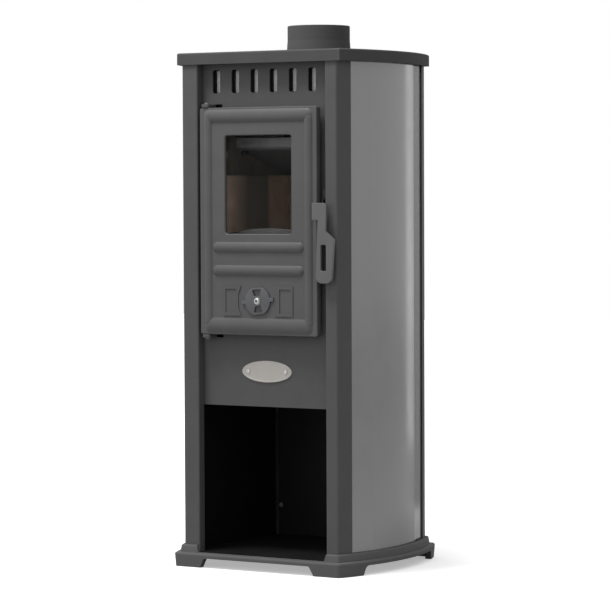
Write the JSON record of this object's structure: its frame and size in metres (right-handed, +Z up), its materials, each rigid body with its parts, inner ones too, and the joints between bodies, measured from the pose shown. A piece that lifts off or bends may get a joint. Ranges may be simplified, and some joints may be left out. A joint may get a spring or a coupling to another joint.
{
  "type": "wood stove",
  "caption": "Free-standing steel wood stove with bowed side panels, cast glazed door, air disc, drop handle, top flue spigot and an open wood store below.",
  "frame": {"origin": "on the floor, under the centre of the plinth", "axes": "+Z up; the door faces -Y; +X to the right of someone who faces the door"},
  "size_m": [0.442, 0.37, 1.0271],
  "materials": {
    "casing_paint": "charcoal heat-proof paint, satin, faint metallic grain",
    "panel_paint": "silver-grey metallic paint, satin",
    "dark_casting": "dark grey paint on a casting, satin",
    "door_casting": "charcoal paint on a casting, fine sand texture",
    "firebox_steel": "black, matt",
    "firebox_casting": "bare grey casting, matt",
    "galvanised_sheet": "galvanised, satin",
    "bright_fastener": "zinc plated",
    "pin_steel": "oiled steel",
    "handle_casting": "charcoal paint, satin",
    "disc_paint": "charcoal paint on a casting",
    "badge_metal": "warm grey, brushed, bare of text",
    "fire_brick": "tan fire clay, rough",
    "seal_rope": "dark glass-fibre rope",
    "window_glass": "clear ceramic glass"
  },
  "bodies": {
    "casing": {"plinth": "dark_casting", "niche_floor": "casing_paint", "front_left_post": "casing_paint", "front_right_post": "casing_paint", "rear_left_post": "casing_paint", "rear_right_post": "casing_paint", "left_side_panel": "panel_paint", "right_side_panel": "panel_paint", "back_panel": "casing_paint", "back_panel_screws": "bright_fastener", "front_panel": "casing_paint", "niche_liner": "casing_paint", "top_plate": "casing_paint", "flue_collar": "dark_casting", "flue_collar_bolts": "bright_fastener", "inner_front_plate": "firebox_steel", "mouth_frame": "firebox_steel", "air_deflector": "galvanised_sheet", "firebox_shell": "firebox_steel", "firebox_rails": "firebox_steel", "left_heat_shield": "galvanised_sheet", "right_heat_shield": "galvanised_sheet", "rear_heat_shield": "galvanised_sheet", "grate_ledges": "firebox_steel", "grate_bed": "firebox_casting", "grate": "firebox_casting", "left_fire_brick": "fire_brick", "right_fire_brick": "fire_brick", "back_fire_brick": "fire_brick", "log_retainer": "firebox_casting", "baffle": "firebox_steel", "baffle_pegs": "firebox_steel", "ash_pan_runners": "firebox_steel", "ash_pan": "firebox_steel", "hinge_lugs": "firebox_steel", "hinge_pins": "pin_steel", "latch_keeper": "firebox_steel", "latch_keeper_screws": "bright_fastener", "badge_plate": "badge_metal", "badge_rivets": "badge_metal"},
    "door": {"door": "door_casting", "door_gasket": "seal_rope", "glass_gasket_tape": "seal_rope", "window_glass": "window_glass", "glass_clips": "bright_fastener", "glass_clip_screws": "bright_fastener", "air_disc_washer": "bright_fastener", "air_disc_screw": "bright_fastener", "air_disc_nut": "bright_fastener"},
    "air_disc": {"air_disc": "disc_paint"},
    "handle": {"door_handle": "handle_casting", "handle_spindle": "pin_steel", "latch_tongue": "pin_steel", "spindle_nut": "bright_fastener"}
  },
  "joints": [
    {"name": "door_hinge", "type": "hinge", "parent": "casing", "child": "door", "pos_m": [-0.116, -0.1636, 0.6547], "axis": [0, 0, -1], "range_deg": [0, 100]},
    {"name": "air_disc_turn", "type": "hinge", "parent": "door", "child": "air_disc", "pos_m": [0, -0.1718, 0.506], "axis": [0, -1, 0], "range_deg": [0, 55]},
    {"name": "handle_turn", "type": "hinge", "parent": "door", "child": "handle", "pos_m": [0.131, -0.17, 0.673], "axis": [0, -1, 0], "range_deg": [-6, 48]}
  ]
}
